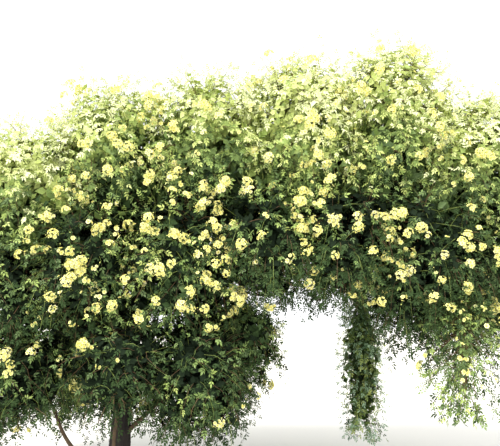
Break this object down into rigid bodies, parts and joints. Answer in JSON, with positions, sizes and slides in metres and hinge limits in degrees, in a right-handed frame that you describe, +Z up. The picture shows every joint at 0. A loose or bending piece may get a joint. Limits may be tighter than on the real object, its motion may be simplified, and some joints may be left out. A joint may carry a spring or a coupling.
{
  "type": "climbing rose bush",
  "caption": "Large climbing rose in full bloom: a short trunk, arching boughs and masses of leafy shoots with small pale yellow double flowers, grown into a mound over a walk-through arch.",
  "frame": {"origin": "middle of the flat cut under the trunk, at ground level", "axes": "+Z up; +X along the crown's length, from the trunk toward the arch; -Y is the front that the picture shows"},
  "size_m": [6.4064, 3.0112, 4.7097],
  "materials": {
    "old_bark": "rough, furrowed grey-brown bark",
    "young_bark": "smoother greenish-brown bark of younger boughs and canes",
    "crown_leaves": "bright yellow-green young leaves and pale yellow flowers",
    "back_crown_leaves": "yellow-green leaves and pale yellow flowers",
    "front_leaves": "mid-green leaves and pale yellow flowers",
    "hem_leaves": "dark green leaves with few flowers",
    "pillar_leaves": "blue-green leaves"
  },
  "bodies": {
    "root": {"trunk": "old_bark", "bough_main": "young_bark", "bough_arch": "young_bark", "bough_far": "young_bark", "bough_left": "young_bark", "bough_back_left": "young_bark", "bough_back_middle": "young_bark", "bough_front_middle": "young_bark", "bough_front_left": "young_bark", "bough_rise_left": "young_bark", "bough_crown_left": "young_bark", "bough_crown_left_middle": "young_bark", "bough_back_crown_left": "young_bark", "bough_crown_middle": "young_bark", "bough_back_crown_left_middle": "young_bark", "bough_back_crown_middle": "young_bark", "bough_arch_side": "young_bark", "bough_front_arch_left": "young_bark", "bough_crown_over_arch": "young_bark", "bough_back_crown_arch": "young_bark", "bough_front_arch_right": "young_bark", "bough_pillar": "young_bark", "bough_crown_peak": "young_bark", "bough_front_right": "young_bark", "bough_curtain": "young_bark", "bough_back_crown_right": "young_bark", "bough_crown_right": "young_bark", "bough_side_right": "young_bark", "cane_middle": "young_bark", "cane_left": "young_bark", "cane_front": "young_bark", "crown_left": "crown_leaves", "crown_left_middle": "crown_leaves", "crown_middle": "crown_leaves", "crown_over_arch": "crown_leaves", "crown_peak": "crown_leaves", "crown_right": "crown_leaves", "back_crown_left": "back_crown_leaves", "back_crown_left_middle": "back_crown_leaves", "back_crown_middle": "back_crown_leaves", "back_crown_arch": "back_crown_leaves", "back_crown_right": "back_crown_leaves", "side_left": "front_leaves", "front_left": "front_leaves", "front_middle": "front_leaves", "front_arch_left": "front_leaves", "front_arch_right": "front_leaves", "front_right": "front_leaves", "side_right": "front_leaves", "hem_left": "hem_leaves", "hem_front": "hem_leaves", "hem_middle": "hem_leaves", "arch_side": "hem_leaves", "back_left": "hem_leaves", "back_middle": "hem_leaves", "pillar": "pillar_leaves", "curtain": "front_leaves"}
  },
  "joints": []
}
